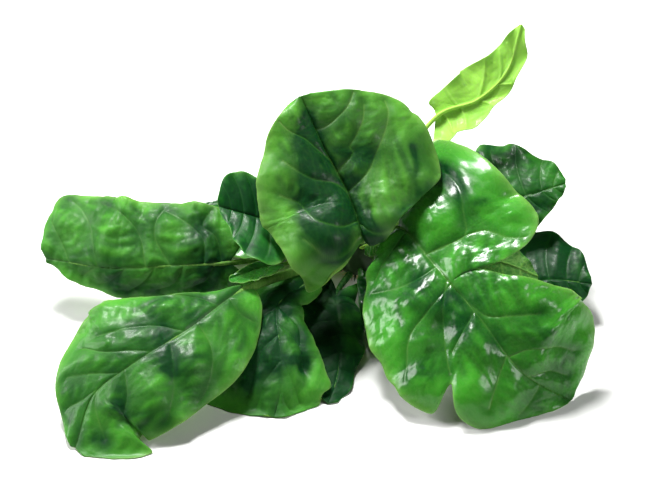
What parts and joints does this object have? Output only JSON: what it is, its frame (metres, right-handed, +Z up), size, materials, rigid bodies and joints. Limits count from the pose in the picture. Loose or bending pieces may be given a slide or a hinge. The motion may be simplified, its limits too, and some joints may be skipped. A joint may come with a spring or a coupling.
{
  "type": "spinach bunch",
  "caption": "Fresh spinach plant cut at the root and laid down, its puckered dark green leaves spread round a short pale crown.",
  "frame": {"origin": "on the surface, under the middle of the bunch's box", "axes": "+X along the spread of the leaves, to the right as seen from the open side; -Y towards the open side; +Z up"},
  "size_m": [0.2476, 0.2018, 0.1112],
  "materials": {
    "leaf": "glossy waxy leaf, paler and duller underneath",
    "heart": "young leaf, pale yellow-green",
    "crown": "pale root skin, matte"
  },
  "bodies": {
    "root": {"crown": "crown", "heart_leaf_left": "heart", "heart_leaf_right": "heart", "leaf_back": "leaf", "leaf_back_left": "leaf", "leaf_back_right": "leaf", "leaf_back_upper": "leaf", "leaf_centre": "leaf", "leaf_dark_front": "leaf", "leaf_far_right": "leaf", "leaf_front_left": "leaf", "leaf_front_right": "leaf", "leaf_left": "leaf", "leaf_low_front": "leaf", "leaf_low_right": "leaf", "leaf_narrow": "leaf", "leaf_right": "leaf", "leaf_small_left": "leaf", "leaf_tucked": "leaf", "leaf_under_right": "leaf", "leaf_upright": "leaf"}
  },
  "joints": []
}
